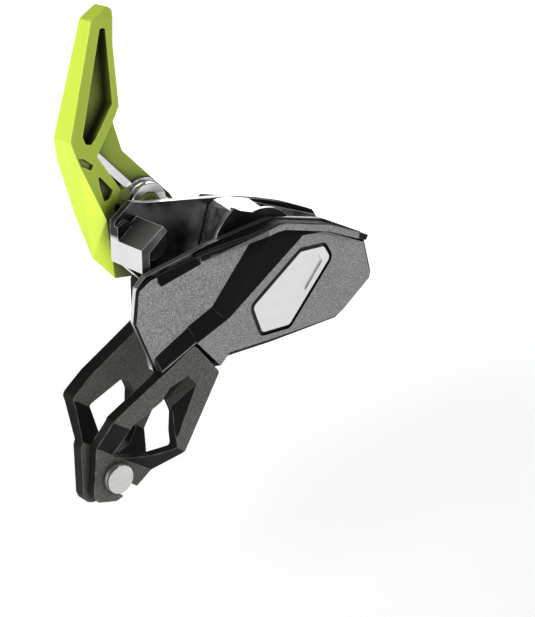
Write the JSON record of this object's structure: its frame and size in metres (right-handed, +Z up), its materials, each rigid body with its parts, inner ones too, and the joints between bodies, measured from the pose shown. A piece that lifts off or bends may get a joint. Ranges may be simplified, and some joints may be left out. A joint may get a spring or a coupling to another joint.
{
  "type": "assisted-braking belay device",
  "caption": "Belay device for a single climbing rope, with a swinging front side that hooks on a harness loop, a sprung cam and a folding handle.",
  "frame": {"origin": "on the axis of the harness stud, midway between the two harness arms", "axes": "+X along the body away from the harness, +Y to the rear (the handle's side), +Z up towards the climber's rope"},
  "size_m": [0.1176, 0.0405, 0.1526],
  "materials": {
    "alloy_plate": "polished alloy",
    "steel_plate": "polished stainless steel",
    "cam_steel": "polished hardened steel",
    "stud_steel": "polished steel",
    "cover_plastic": "finely speckled moulding",
    "arm_alloy": "hard-anodised forged alloy",
    "handle_plastic": "moulded, slight sheen",
    "pin_olive": "dark olive moulding cap",
    "black_trim": "smooth black",
    "bush_brass": "plain bearing bronze"
  },
  "bodies": {
    "rear_side": {"rear_plate": "steel_plate", "rear_cover": "cover_plastic", "rear_arm": "arm_alloy", "arm_rivets": "steel_plate", "cover_screws": "steel_plate", "harness_stud": "stud_steel", "stud_ring": "stud_steel", "rope_guide": "cam_steel", "guide_rivet": "steel_plate", "wear_anvil": "cam_steel", "anvil_rivet": "steel_plate", "stop_post": "black_trim", "stop_sleeve": "cam_steel", "spindle_bush": "bush_brass", "cam_spring": "steel_plate"},
    "cam_and_lever": {"cam": "cam_steel", "cam_nose": "cam_steel", "cam_spindle": "steel_plate", "lever": "steel_plate", "lever_nut": "steel_plate", "hinge_pin": "pin_olive", "hinge_washer": "steel_plate", "swivel_clip": "steel_plate"},
    "grip": {"handle": "handle_plastic", "handle_core": "steel_plate", "handle_rivet": "pin_olive"},
    "front_side": {"front_plate": "alloy_plate", "front_cover": "cover_plastic", "front_arm": "arm_alloy", "front_rivets": "steel_plate", "front_inset": "cam_steel", "inset_seal": "black_trim"}
  },
  "joints": [
    {"name": "front_swing", "type": "hinge", "parent": "rear_side", "child": "front_side", "pos_m": [0.066, 0, 0.052], "axis": [0, 1, 0], "range_deg": [0, 95]},
    {"name": "cam_turn", "type": "hinge", "parent": "rear_side", "child": "cam_and_lever", "pos_m": [0.066, 0, 0.052], "axis": [0, 1, 0], "range_deg": [0, 20], "stiffness_Nm_per_rad": 0.06, "springref_deg": -28.65},
    {"name": "handle_fold", "type": "hinge", "parent": "cam_and_lever", "child": "grip", "pos_m": [0.032, 0, 0.079], "axis": [0, 1, 0], "range_deg": [0, 110]}
  ]
}
